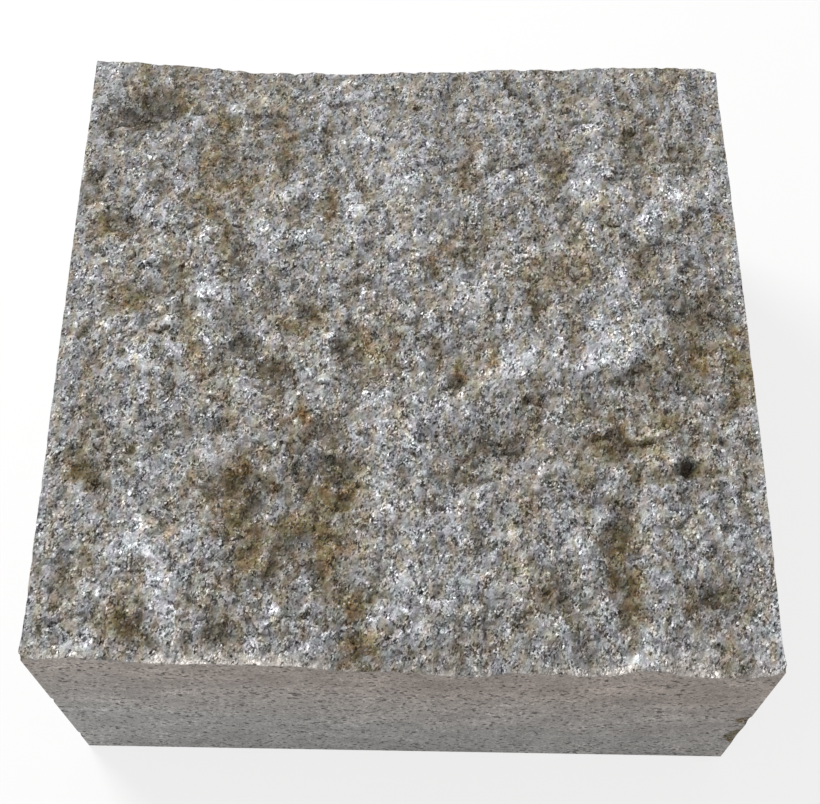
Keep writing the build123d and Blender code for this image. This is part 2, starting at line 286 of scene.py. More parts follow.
        (90, 56, 88, 51, 2.0, -0.8), (95, 41, 94, 38, 2.5, -0.8), (88, 36, 90, 27, 2.4, -0.8),
        (93, 16, 92, 13, 2.4, -0.7), (99, 10, 108, 11, 2.0, -1.2), (114, 6, 119, 5, 2.0, -1.1),
        (48, 58, 50, 56, 1.8, -0.7), (22, 33, 24, 31, 2.0, -0.8), (50, 14, 48, 3, 2.5, -0.8),
        (63, 12, 66, 10, 1.8, -0.7), (73, 26, 73, 23, 2.0, -0.6), (-59, -7, -56, -9, 2.6, -1.1),
        (-85, -22, -82, -24, 2.5, -0.9), (-82, -48, -79, -48, 2.0, -1.0), (-49, -17, -43, -20, 3.5, -0.8),
        (-23, -5, -21, -10, 2.0, -1.0), (-16, -22, -15, -26, 2.0, -0.7), (-25, -51, -22, -52, 3.0, -1.0),
        (-56, -51, -52, -68, 2.6, -1.0), (-67, -62, -65, -68, 2.6, -0.8), (-21, -63, -20, -67, 2.8, -1.0),
        (-24, -78, -22, -80, 2.4, -0.8), (-37, -75, -35, -78, 2.4, -0.7), (-50, -79, -48, -79, 2.0, -1.0),
        (-46, -95, -40, -92, 3.0, -0.7), (-27, -91, -25, -94, 2.4, -0.6), (-58, -96, -56, -98, 2.4, -0.7),
        (-92, -113, -88, -116, 3.2, -0.9), (-62, -114, -57, -117, 3.2, -0.9),
        (-38, -108, -27, -109, 1.4, -0.9), (-14, -98, -15, -119, 2.2, -0.7),
        (-105, -63, -103, -66, 2.4, -0.8), (-113, -95, -111, -98, 2.4, -0.8), (10, -5, 12, -16, 2.4, -0.7),
        (15, -24, 20, -22, 1.8, -0.7), (46, -27, 47, -28, 1.6, -1.0), (73, -23, 88, -16, 2.0, -0.6),
        (75, -41, 79, -44, 2.6, -1.0), (86, -35, 86, -38, 2.0, -0.8), (86, -58, 94, -54, 2.0, -0.7),
        (28, -47, 36, -46, 3.5, -0.7), (39, -50, 43, -48, 2.0, -0.8), (22, -54, 26, -57, 3.0, -0.7),
        (11, -56, 13, -56, 1.6, -0.7), (29, -79, 30, -82, 2.0, -0.7), (77, -78, 72, -87, 2.2, -0.7),
        (75, -92, 76, -111, 2.2, -0.7), (50, -98, 52, -102, 2.2, -0.8), (58, -94, 57, -108, 2.2, -0.5),
        (63, -114, 65, -119, 2.4, -0.8), (98, -104, 108, -99, 3.0, -0.9), (38, -105, 40, -106, 2.0, -0.8),
        (66, -64, 68, -65, 1.8, -0.7), (52, -65, 55, -63, 1.8, -0.7), (110, -65, 110, -68, 1.8, -0.7),
        (121, -74, 123, -75, 1.8, -0.8), (115, 24, 115, 16, 4.0, -0.5), (103, -8, 103, -22, 4.0, -0.5),
        (-122, 70, -122, 60, 4.0, -0.6), (-22, 20, -14, 25, 3.0, -0.5), (107, 81, 107, 69, 5.0, -0.4),
        (-61, 100, -49, 100, 5.0, -0.4), (-30, 67, -30, 57, 3.5, -0.4), (-95, -70, -95, -72, 5.0, 0.2),
        (8, 43, 8, 42, 4.0, 0.5), (14, -71, 26, -65, 4.0, 0.5), (-73, -80, -73, -81, 4.0, 0.6),
        (-55, -118, -41, -118, 4.0, 0.6), (-75, -121, -75, -122, 4.0, 0.7), (63, -38, 67, -41, 1.2, 1.2),
        (67, -41, 72, -40, 1.2, 1.2), (80, -38, 85, -40, 1.2, 1.2), (85, -40, 92, -39, 1.2, 1.2),
        (64, -44, 72, -44, 1.5, -0.4), (81, -43, 91, -43, 1.5, -0.4),
    ],
    # spots where iron has bled: x, y, half width, strength
    "iron": [
        (-82, -79, 3, 0.7), (-15, -111, 3, 0.3), (-53, -55, 5, 0.2), (19, -20, 4, 0.4), (-108, 42, 4, 0.7),
        (-19, -82, 3, 0.6), (-36, -36, 3, 0.6), (78, -38, 2, 0.8), (14, 33, 4, 0.5), (90, 33, 3, 0.6),
        (-64, -77, 3, 0.9), (-75, -15, 4, 0.4), (33, -15, 2, 0.9), (-15, -117, 4, 0.5), (-15, -104, 4, 0.5),
        (119, 50, 3, 0.8), (-48, 95, 4, 0.3), (27, -93, 2, 0.5),
    ],
    # small deep pits, painted dark inside as shade: x, y, half width, depth
    "pits": [
        (99.5, -53, 2.6, 2.8), (20, -22, 2.0, 1.0), (-22, -79, 1.6, 0.6), (-57, -8, 1.6, 1.0),
        (112, -45, 1.4, 1.6), (122, -45, 1.4, 1.6), (47, -28, 1.3, 0.8), (-22, -7, 1.8, 1.0),
        (-23, -52, 2.2, 1.0),
    ],
    # ledges, where the face steps down: x, y, half length, direction of the drop in degrees, drop
    "ledges": [
        (69, -42, 6, -75, 0.9), (86, -41, 7, -85, 1.0), (38, 72, 8, 80, 0.8), (75, -18, 7, -62, 1.0),
        (40, -19, 14, -62, 0.7), (50, 50, 6, -62, 0.7), (63, 35, 5, -50, 0.7), (-58, -102, 9, -88, 0.9),
        (-32, -107, 8, -78, 0.9), (104, 8, 6, -95, 0.9), (117, 4, 6, -95, 0.8), (103, -116, 7, 180, 0.8),
        (-70, 17, 9, -60, 0.6), (-40, 62, 8, -55, 0.6), (99, 55, 10, -48, 0.8), (4, 44, 8, -40, 0.6),
    ],
    # single grains painted bright as glints, painted highlights: x, y, half width
    "grains": [
        (-12, -25, 1.7), (-108, 0, 1.2), (-72, -5, 1.3), (-75, -107, 1.8), (-43, -107, 1.9),
        (-33, -105, 1.7), (64, -77, 1.2), (78, -121, 1.8), (0, -104, 1.2), (-104, -120, 2.4),
        (-32, -63, 0.9), (80, -117, 1.0),
    ],
    # stretches of the front arris crushed to pale grit: from, to, strength
    "crushed": [
        (-84, -28, 1.0), (66, 77, 1.0), (88, 105, 2.0), (-123, -100, 0.3), (108, 122, 0.4), (9, 18, 0.7),
        (36, 42, 0.8), (45, 62, 0.6), (86, 89, 0.6),
    ],
}
rng = np.random.default_rng(splitTop["seed"])

# the split top: a grid over the plan, its height the CAD face plus the finer relief of the split
cells = splitTop["cells"]
shape = (cells + 1, cells + 1)
pitch = width / cells / mm
v, u = np.meshgrid(np.linspace(-0.5, 0.5, cells + 1), np.linspace(-0.5, 0.5, cells + 1), indexing="ij")
x = u * width - v * lean
y = v * depth
base = heightBelow(x * splitTop["inset"], y * splitTop["inset"])
print("CAD face read, from %.1f to %.1f mm" % (base.min() / mm, base.max() / mm))

# places on the plan in mm, straight and with outlines that stray
plainX = u * width / mm
plainY = v * depth / mm
halfDepth = depth / mm / 2
fromFront = plainY + halfDepth
stray, strayReach = splitTop["strayFine"]
strayX = stray * topCloud(strayReach, strayReach)
strayY = stray * topCloud(strayReach, strayReach)
bentX = plainX + strayX
bentY = plainY + strayY
sway, swayReach = splitTop["strayBroad"]
warpX = bentX + sway * topCloud(swayReach, swayReach)
warpY = bentY + sway * topCloud(swayReach, swayReach)

stroke = strokes(bentX, bentY, splitTop["strokes"])
hackle = np.abs(topCloud(*splitTop["hackleReach"]))
hackle = (hackle.mean() - hackle) / hackle.std()        # sharp crests with round troughs between
lump = topCloud(*splitTop["lumpReach"])
grit = topCloud(*splitTop["gritReach"])
relief = splitTop["strokeHeight"] * stroke + splitTop["hackleHeight"] * hackle
relief += splitTop["lumpHeight"] * lump + splitTop["gritHeight"] * grit
for size, slope, step in splitTop["facets"]:
    relief += brokenFacets(bentX, bentY, size, slope, step)
pit = np.zeros(shape)
rimStray = splitTop["rimStray"]
for pitX, pitY, half, deep in splitTop["pits"]:
    # a pit is a bell curve with steep walls and a ragged rim
    away = np.hypot(plainX + rimStray * strayX - pitX, plainY + rimStray * strayY - pitY)
    bowl = np.exp(-((away / half) ** 4))
    relief -= deep * bowl
    # the inside of a pit is painted dark as shade, fully so from the shade depth down
    pit = np.maximum(pit, bowl * min(deep / splitTop["pitShadeDepth"], 1))
for ledgeX, ledgeY, length, turn, drop in splitTop["ledges"]:
    # a ledge drops over a millimetre or so across its line and fades away on both sides and at its ends
    turn = math.radians(turn)
    offX = bentX - ledgeX
    offY = bentY - ledgeY
    across = offX * math.cos(turn) + offY * math.sin(turn)
    along = offY * math.cos(turn) - offX * math.sin(turn)
    fade = np.exp(-np.abs(across) / splitTop["ledgeFade"] - (along / length) ** 4)
    relief -= drop / 2 * np.tanh(across / splitTop["ledgeRun"]) * fade
# the relief dies down towards the arrises
toEdge = (0.5 - np.maximum(np.abs(u) * width, np.abs(v) * depth) / width) * width / mm
calmLeast, calmReach = splitTop["calm"]
z = base / mm + relief * (calmLeast + (1 - calmLeast) * smooth(toEdge, 0, calmReach))
cavity = z - soften(z, splitTop["cavityReach"] / pitch)     # how far a place stands above those around it
# the front and back arrises draw the face to their own lines, by a curve that falls off with the distance
lumpLeft, gritLeft = splitTop["arrisRough"]
for row, arris in ((0, "frontArris"), (-1, "backArris")):
    arrisX, fall = np.array(splitTop[arris], float).T
    wanted = (splitTop["cornerHeight"] - np.interp(plainX[row], arrisX, fall)
              + lumpLeft * lump[row] + gritLeft * grit[row])
    away = np.abs(plainY - plainY[row][0])
    z += (wanted - z[row])[None, :] * np.exp(-((away / splitTop["arrisReach"]) ** 1.5))
# peaks are pressed down smoothly so that none stands above the CAD box, and the highest just reaches its top
room = (topLevel - z) / splitTop["press"]
z = (topLevel - splitTop["press"] * np.logaddexp(0, room)) * mm
z += boxHigh.z - z.max()
print("split relief, from %.1f to %.1f mm" % (z.min() / mm, z.max() / mm))

# how the relief, with painted light and shade, the stains and chance patches of the top add up to its tones
topTones = {
    "ragged": (0.7, 1.7, 2.2),      # ragged edges of tones: spread, reach, most
    "patchReach": (3.5, 2.5),       # faint patches, front to back and across
    "mottle": (0.45, 2.4),          # mottling of the stains: spread, reach
    "tanReach": (7.0, 2.2),         # tan spots in no set place, front to back and across
    "tanStart": 0.2,                # a higher start makes them fewer
    "stainSpread": 1.25,            # stains reach this much further than they are listed
    # shares of a stain: placed stains, tan spots, hollows, ribs, high places, patches
    "stainShares": (0.85, 0.26, 0.08, -0.10, -0.05, 0.05),
    # shares of a tone, on a log scale: rises (painted light and clean stone), hollows (painted shade and
    # dirt), ribs (painted light), grooves (painted shade), high places (painted light, and painted shade
    # where low), patches, pits (painted shade), grains (painted highlights)
    "toneShares": (0.27, -0.45, 0.27, 0.40, 0.26, 0.08, -0.95, 0.75),
    "toneStain": (0.16, 0.2),       # darkening by stain, and the stain that leaves the tone as it is
    "toneBack": 0.05,               # darkening towards the back
    "glintGrainStray": 0.5,              # how ragged a single grain painted as a highlight is
    "ovalMost": 1.4,                # placed tones and high places count no further than this
    "highMost": 1.5,
    "palest": 0.60,                 # the palest and darkest places are held back to these
    "darkest": 1.0,
    "keen": 1.10,                   # how much grains stand out, less to the back and front: loss, from, to
    "keenBack": (0.22, 15, 105),
    "keenFront": (0.04, 40, 110),
    "gritThin": (0.5, 1.8),         # thin pale grit along the whole front arris: strength, reach
    "gritCloud": (1.2, 2.0),        # its grain, front to back and across
    "gritReach": 2.2,               # reach of the stretches of pale grit, and the fade at their ends
    "gritEnds": 2.0,
    "gritMost": 1.2,                # most that ragged edges add to it
}
# stains and tones, kept on the vertices: low places are stained and painted dark, as shade and dirt, and
# high ones pale and clean, with painted light
hollow = ovals(warpX, warpY, splitTop["hollows"])
rise = ovals(warpX, warpY, splitTop["rises"])
stainSpread = topTones["stainSpread"]
stains = [(*r[:2], stainSpread * r[2], stainSpread * r[3], *r[4:]) for r in splitTop["rust"]]
rust = ovals(warpX, warpY, stains)
raggedSpread, raggedReach, raggedMost = topTones["ragged"]
ragged = np.clip(1 + raggedSpread * topCloud(raggedReach, raggedReach), 0, raggedMost)
patch = topCloud(*topTones["patchReach"])
mottleSpread, mottleReach = topTones["mottle"]
mottle = 1 + mottleSpread * topCloud(mottleReach, mottleReach)
tanSpots = np.maximum(topCloud(*topTones["tanReach"]) - topTones["tanStart"], 0)
makers = (rust * mottle, tanSpots, hollow, stroke, cavity, patch)
rustMask = np.clip(sum(share * maker for share, maker in zip(topTones["stainShares"], makers)), 0, 1)
iron = np.zeros(shape)
for spotX, spotY, half, strength in splitTop["iron"]:
    away = np.hypot(bentX - spotX, bentY - spotY)
    iron += strength * ragged * np.exp(-((away / half) ** 2))
halfRagged = 0.5 + 0.5 * ragged
ovalMost, highMost = topTones["ovalMost"], topTones["highMost"]
riseLightAndClean, hollowShadeAndDirt, ribLight, grooveShade, crestLightTroughShade, inPatch, pitShade, glintGrainTone = topTones["toneShares"]
# pale rises are painted light along with clean stone, and hollows painted shade along with dirt
toneLog = riseLightAndClean * np.clip(rise * ragged, 0, ovalMost) + hollowShadeAndDirt * np.clip(hollow * ragged, 0, ovalMost)
# ribs are painted lighter and grooves darker: painted light and painted shade
toneLog += np.where(stroke > 0, ribLight, grooveShade) * np.clip(stroke * halfRagged, -ovalMost, ovalMost)
# places above their neighbours are painted lighter and those below darker: painted light and painted shade
toneLog += crestLightTroughShade * np.clip(cavity, -highMost, highMost) + inPatch * patch
limit = np.where(toneLog > 0, topTones["palest"], topTones["darkest"])
stainDark, stainEven = topTones["toneStain"]
# pits get their painted shade here, and stain darkens the tone
toneLog = limit * np.tanh(toneLog / limit) + pitShade * pit - stainDark * (rustMask - stainEven)
toneLog -= topTones["toneBack"] * plainY / halfDepth
glintGrainStray = topTones["glintGrainStray"]
# single grains painted bright: painted highlights
for grainX, grainY, half in splitTop["grains"]:
    away = np.hypot(plainX + glintGrainStray * strayX - grainX, plainY + glintGrainStray * strayY - grainY)
    toneLog += glintGrainTone * np.exp(-((away / half) ** 4))
keen = np.full(shape, topTones["keen"])
for side, (loss, start, end) in ((1, topTones["keenBack"]), (-1, topTones["keenFront"])):
    keen -= loss * smooth(side * plainY, start, end)
thin, thinReach = topTones["gritThin"]
crush = thin * np.clip(topCloud(*topTones["gritCloud"]), 0, 1) * np.exp(-fromFront / thinReach)
ends = topTones["gritEnds"]
for start, end, strength in splitTop["crushed"]:
    # a stretch fades at its ends and away from the arris, and the strongest reach further in
    stretch = smooth(plainX, start - ends, start + ends) * (1 - smooth(plainX, end - ends, end + ends))
    fade = np.exp(-fromFront / (topTones["gritReach"] * max(1, strength)))
    crush += strength * stretch * np.clip(halfRagged, 0, topTones["gritMost"]) * fade
crush = np.clip(crush, 0, 1)

sawnSides = {
    "nearTop": [0.5, 1.1, 1.9, 3.0, 4.6, 6.8],      # rows just below the arris, mm down
    "rows": 64,                 # rows from there to the bed
    "cornerCells": 9,           # columns stay close together this near an upright arris
    "columnStep": 8,            # elsewhere one column in so many goes down to the bed
    "nibble": 0.12,             # how far crumbs are broken off the top arris
    "crumbCells": 1.6,          # breadth of a crumb in grid cells
    "crumbDrop": 1.2,           # how far down the sawn face crumbs and pale grit reach
    "sawnStart": 0.8,           # how far down it looks sawn
    "topShadeDrop": 85.0,          # how far down the painted shade, browner and darker near the top, reaches, and how much more of it there is to the right
    "topShadeLean": 0.35,
    "chipShadowRim": 0.45,            # share of a chip's length that its painted rim shadow takes
    "chipDark": 0.25,           # how much darker and how stained a chip is
    "chipStain": 0.7,
    # spalls and chips: x, y, z, outward direction, length, depth, darkness of the painted shadow under the
    # upper rim
    "scoops": [
        (127.0, -125.0, 53.5, (0, -1, 0), 10.0, 0.6, 0.55),
        (135.3, -125.0, 32.2, (0, -1, 0), 27.0, 0.6, 0.3), (123.0, 125.0, 115.0, (1, 1, 1), 12.0, 3.4, 0.0),
        (-123.0, -125.0, 113.6, (-1, -1, 1), 4.2, 1.2, 0.0),
        (127.0, -125.0, 113.8, (1, -1, 1), 4.2, 1.2, 0.0),
        (-123.0, -125.0, 65.0, (-1, -1, 0), 4.0, 0.6, 0.0),
        (-123.0, -125.0, 18.5, (-1, -1, 0), 4.0, 0.6, 0.0),
    ],
}
# the sides: the rim of the top carried down to the bed, in rows that are close together under the arris
index = np.arange(shape[0] * shape[1]).reshape(shape)
rim = np.concatenate([index[0, :-1], index[:-1, -1], index[-1, :0:-1], index[:0:-1, 0]])
inner = np.ones(shape)
inner.ravel()[rim] = 0
x = x + inner * splitTop["jitter"] * mm * rng.standard_normal(shape)
y = y + inner * splitTop["jitter"] * mm * rng.standard_normal(shape)
topPoints = np.column_stack([x.ravel(), y.ravel(), z.ravel()])
planShare = np.column_stack([u.ravel(), v.ravel()])[rim]
inward = -np.sign(topPoints[rim, :2]) * (np.abs(planShare) == 0.5)
nearTop = np.array(sawnSides["nearTop"]) * mm
rimZ = topPoints[rim, 2]
downShare = np.linspace(0, 1, sawnSides["rows"] + 1)[1:, None]
fromTop = np.concatenate([np.repeat(nearTop[:, None], len(rim), 1),
                          nearTop[-1] + downShare * (rimZ - nearTop[-1])])
sideRows = len(fromTop)
sidePoints = np.empty((sideRows, len(rim), 3))
sidePoints[..., :2] = topPoints[rim, :2]
sidePoints[..., 2] = rimZ - fromTop
crumb = np.maximum(cloud((1, len(rim)), (0, sawnSides["crumbCells"]))[0], 0) * sawnSides["nibble"] * mm
crumbDrop = sawnSides["crumbDrop"] * mm
topPoints[rim, :2] += inward * crumb[:, None]
sidePoints[..., :2] += inward * (crumb * np.exp(-((fromTop / crumbDrop) ** 1.5)))[..., None]
bedMiddle = np.array([[0, 0, 0]])
points = np.concatenate([topPoints, sidePoints.reshape(-1, 3), bedMiddle])
broken = np.zeros(len(points))
paintedRimShadow = np.zeros(len(points))
for placeX, placeY, placeZ, outward, length, deep, shade in sawnSides["scoops"]:
    # a shell-shaped chip: points inside a ball are pushed straight away from its middle to its skin
    radius = ((length / 2) ** 2 + deep**2) / (2 * deep) * mm
    outward = np.array(outward) / np.linalg.norm(outward)
    middle = np.array([placeX, placeY, placeZ]) * mm + outward * (radius - deep * mm)
    fromMiddle = np.linalg.norm(points - middle, axis=1)
    inside = fromMiddle < radius
    points[inside] = middle + (points[inside] - middle) * (radius / fromMiddle[inside])[:, None]
    broken[inside] = 1
    # painted shadow along the upper rim of the chip
    paintedRimShadow[inside] = shade * smooth(points[inside, 2] / mm, placeZ, placeZ + sawnSides["chipShadowRim"] * length)

# faces: quads on the top and just below the arris, fewer columns from there to the bed, and a fan on the bed
quadTop = np.stack([index[:-1, :-1], index[:-1, 1:], index[1:, 1:], index[1:, :-1]], -1).reshape(-1, 4)
rings = np.concatenate([rim[None, :], index.size + np.arange(sideRows * len(rim)).reshape(sideRows, -1)])
ringsNext = np.roll(rings, -1, axis=1)
near = len(nearTop)
quadNear = np.stack([rings[:near], rings[1:near + 1], ringsNext[1:near + 1], ringsNext[:near]], -1)
quadNear = quadNear.reshape(-1, 4)
column = np.arange(len(rim))
toCorner = np.minimum(column % cells, cells - column % cells)
kept = column[(toCorner <= sawnSides["cornerCells"]) | (toCorner % sawnSides["columnStep"] == 0)]
gap = np.diff(np.append(kept, len(rim)))
lower = rings[near + 1:][:, kept]
lowerNext = np.roll(lower, -1, axis=1)
faces = quadTop.tolist() + quadNear.tolist()
for skip in np.unique(gap):
    # the row where columns are left out keeps the left out points along its upper edge
    first = kept[gap == skip]
    upper = rings[near][(first[:, None] + np.arange(skip, -1, -1)) % len(rim)]
    faces += np.column_stack([upper, lower[0][gap == skip], lowerNext[0][gap == skip]]).tolist()
faces += np.stack([lower[:-1], lower[1:], lowerNext[1:], lowerNext[:-1]], -1).reshape(-1, 4).tolist()
faces += np.column_stack([lowerNext[-1], lower[-1], np.full(len(kept), len(points) - 1)]).tolist()

# points that no face uses are left out
used = np.zeros(len(points), bool)
used[np.concatenate([quadTop.ravel(), quadNear.ravel(), lower.ravel(), [len(points) - 1]])] = True
renumber = np.cumsum(used) - 1
faces = [[int(renumber[i]) for i in face] for face in faces]
stoneMesh = bpy.data.meshes.new("graniteKerb")
stoneMesh.from_pydata(points[used].tolist(), [], faces)
stoneMesh.polygons.foreach_set("use_smooth", np.ones(len(stoneMesh.polygons), bool))
stoneMesh.set_sharp_from_angle(angle=math.radians(splitTop["sharpAngle"]))

# what the granite reads at each point: values on the top, then on the sides and the middle of the bed
below = np.append(fromTop.ravel() / mm, topLevel)
sideX = np.append((sidePoints[..., 0] / width).ravel(), 0.0)
gritBelow = np.append((crush.ravel()[rim] * np.exp(-fromTop / crumbDrop)).ravel(), 0.0)
# painted shade: the sawn faces are browner and darker near the top, fading down to the bed and stronger to
# the right
topShadeBelow = 1 - smooth(below, 0, sawnSides["topShadeDrop"]) + sawnSides["topShadeLean"] * sideX
values = {
    "rust": (rustMask, np.zeros(below.size)),
    "iron": (np.clip(iron, 0, 1), np.zeros(below.size)),
    "tone": (np.exp(toneLog), np.ones(below.size)),
    "keen": (keen, np.ones(below.size)),
    "crush": (crush, gritBelow),
    "sawn": (np.zeros(shape), 1 - np.exp(-((below / sawnSides["sawnStart"]) ** 2))),
    "topShade": (np.zeros(shape), np.clip(topShadeBelow, 0, 1)),
}
fields = {name: np.concatenate([onTop.ravel(), onSides]) for name, (onTop, onSides) in values.items()}
# chips show split stone, stained and darker than the sawn face, and the upper rim of a chip is painted dark
# as the shadow under its overhang
fields["sawn"] *= 1 - broken
fields["tone"] *= (1 - sawnSides["chipDark"] * broken) * (1 - paintedRimShadow)
fields["rust"] = np.maximum(fields["rust"], sawnSides["chipStain"] * broken)
for name, value in fields.items():
    layer = stoneMesh.attributes.new(name, "FLOAT", "POINT")
    layer.data.foreach_set("value", value[used].astype(np.float32))
stone = bpy.data.objects.new("graniteKerb", stoneMesh)
bpy.context.scene.collection.objects.link(stone)
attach(stone, "root")
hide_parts("kerb_stone")
print("stone mesh: %d points, %d faces" % (len(stoneMesh.vertices), len(stoneMesh.polygons)))


def linear(hexColour):
    # sRGB hex to linear light
    srgb = [int(hexColour[i:i + 2], 16) / 255 for i in (1, 3, 5)]
    return [c / 12.92 if c <= 0.04045 else ((c + 0.055) / 1.055) ** 2.4 for c in srgb] + [1.0]


def add(tree, kind, settings=None, links=None):
    # adds a node: settings go to its properties or, by name or number, to its inputs, and links join
    # inputs to sockets, or to the first output in use of other nodes
    node = tree.nodes.new("ShaderNode" + kind)
    for name, value in (settings or {}).items():
        if isinstance(name, str) and hasattr(node, name):
            setattr(node, name, value)
        else:
            node.inputs[name].default_value = value
    for name, source in (links or {}).items():
        if isinstance(source, bpy.types.Node):
            source = next(socket for socket in source.outputs if socket.enabled)
        tree.links.new(source, node.inputs[name])
    return node


# granite, split on top and sawn on the sides: a mosaic of grey quartz, pale feldspar and black mica about a
# millimetre across, rough and catching light grain by grain where split, duller and flatter where sawn
graniteLook = {
    "grain": 0.75,              # mm, quartz, feldspar and mica grains
    "clump": 2.2,               # mm, grains that broke together
    "speck": 0.58,              # mm, light and dark within a grain
    "crystal": 2.8,             # mm, large pale feldspars and knots of mica
    "blotch": 3.5,              # mm, pale and dark places with ragged edges
    "patch": 4.0,               # mm, places of like liveliness
    "hue": 4.0,                 # mm, tan and blue grey places
    "cloudy": 12.0,             # mm, height of cloudy streaks on the sawn faces
    "cloudyDraw": (0.6, 0.6, 1.0),      # how far those streaks are drawn out level, the less the longer
    "fleck": (0.78, 0.78, 0.9),         # mica flecks per mm across and up the sawn faces
    "wander": (0.4, 0.9),       # mm that grain outlines stray, and over how long a stretch
    # patterns drawn out on a slant: its turn from the front's direction, stretch along it and across it
    "grainTurn": (0, 0, math.radians(65)),
    "grainDraw": (1.3, 0.85, 1.0),
    "blotchTurn": (0, 0, math.radians(55)),
    "blotchDraw": (1.5, 0.75, 1.0),
    "hueTurn": (0, 0, math.radians(95)),
    "hueDraw": (1.7, 0.75, 1.0),
    # how far tones differ, on a log scale, from clump to clump, by specks, blotches and large crystals
    "clumpSpread": 0.4,
    "speckSpread": 2.9,
    "blotchSpread": 0.20,
    "crystalSpread": 0.36,
    "lively": (0.3, 1.8),       # least and most of that spread from place to place
    "stainEvens": 0.7,          # what stain leaves of it
    "grainLift": 0.47,          # how strongly it shows on the scale the eye sees
    "darkest": 0.2,             # share of its tone that the darkest grain keeps
    "coolSpread": (2.8, -1.56),     # how far hues differ from place to place, and their balance
    "coolTone": 0.7,            # how much cooler pale places and grains are
    "coolGrain": 0.05,
    "stainHold": 0.22,          # how much less a pale grain is stained than a dark one
    "paintedGlint": (0.98, 0.6, 0.2),  # grains past this share are painted bright as glints, painted highlights, how far on clean stone and on stained
    "mica": (0.10, 0.8),        # share of grains that are mica, and how dark they are
    "sawnSpread": 0.37,         # what sawing leaves of the spread
    "cloudSpread": 1.3,
    "crowd": (0.10, 0.46),      # share of flecks where they are few and where they crowd
    "fleckDark": 0.22,
    "bumpSpeck": 0.4,           # mm that specks stand out
    "sawnBump": 0.06,           # what sawing leaves of the bump
    "roughness": 0.8,
    "specular": 0.2,
    "paleColour": "#a8abb1",
    "warmColour": "#a9a398",
    "micaColour": "#2f2b28",
    # colour of the painted highlights on single grains
    "paintedGlintColour": "#ebedf0",
    "greenTint": "#fbfef8",
    "pinkTint": "#fff8f9",
    "oliveTint": "#f1e2b2",
    "brownTint": "#f4dbb3",
    "ironTint": "#f6dcbc",
    "crushColour": "#dad3cc",
    "sawnColour": "#b3b1af",
    # colour of the painted shade near the top of the sawn faces
    "sawnTopShade": "#b2a7a0",
}


def grainPattern(tree, coords):
    # every grain and clump of grains has a tone of its own, with specks within it, and their logs add up
    look = graniteLook
    stray, reach = look["wander"]
    wander = add(tree, "TexNoise", {"Scale": 1 / (reach * mm), "Detail": 1.0}, {"Vector": coords})
    centred = add(tree, "VectorMath", {"operation": "SUBTRACT", 1: (0.5, 0.5, 0.5)},
                  {0: wander.outputs["Color"]})
    bent = add(tree, "VectorMath", {"operation": "MULTIPLY_ADD", 1: [2 * stray * mm] * 3},
               {0: centred, 2: coords})
    alongGrain = add(tree, "Mapping", {"vector_type": "TEXTURE", "Rotation": look["grainTurn"],
                     "Scale": look["grainDraw"]}, {"Vector": bent})
    grain = add(tree, "TexVoronoi", {"Scale": 1 / (look["grain"] * mm)}, {"Vector": alongGrain})
    clump = add(tree, "TexVoronoi", {"Scale": 1 / (look["clump"] * mm)}, {"Vector": bent})
    grainPick = add(tree, "SeparateColor", links={"Color": grain.outputs["Color"]}).outputs
    clumpPick = add(tree, "SeparateColor", links={"Color": clump.outputs["Color"]}).outputs
    speck = add(tree, "TexNoise", {"Scale": 1 / (look["speck"] * mm), "Detail": 2.0, "Roughness": 0.6},
                {"Vector": alongGrain})
    # few grains are far from the mean
    offMean = add(tree, "Math", {"operation": "MULTIPLY_ADD", 1: 2.0, 2: -1.0}, {0: grainPick["Red"]})
    grainLog = add(tree, "Math", {"operation": "POWER", 1: 3.0}, {0: offMean})
    clumpLog = add(tree, "Math", {"operation": "MULTIPLY_ADD", 1: look["clumpSpread"],
                   2: -look["clumpSpread"] / 2}, {0: clumpPick["Red"]})
    speckLog = add(tree, "Math", {"operation": "MULTIPLY_ADD", 1: look["speckSpread"],
                   2: -look["speckSpread"] / 2}, {0: speck})
    coarseLog = add(tree, "Math", {"operation": "ADD"}, {0: grainLog, 1: clumpLog})
    toneLog = add(tree, "Math", {"operation": "ADD"}, {0: coarseLog, 1: speckLog})
    # each grain is a facet with a tilt of its own, and specks stand out of it
    fromHome = add(tree, "VectorMath", {"operation": "SUBTRACT"},
                   {0: alongGrain, 1: grain.outputs["Position"]})
    tilt = add(tree, "VectorMath", {"operation": "SUBTRACT", 1: (0.5, 0.5, 0.5)},
               {0: grain.outputs["Color"]})
    facet = add(tree, "VectorMath", {"operation": "DOT_PRODUCT"}, {0: fromHome, 1: tilt})
    height = add(tree, "Math", {"operation": "MULTIPLY_ADD", 1: look["bumpSpeck"] * mm},
                 {0: speck, 2: facet})
    return {"bent": bent, "pick": grainPick, "toneLog": toneLog, "height": height}


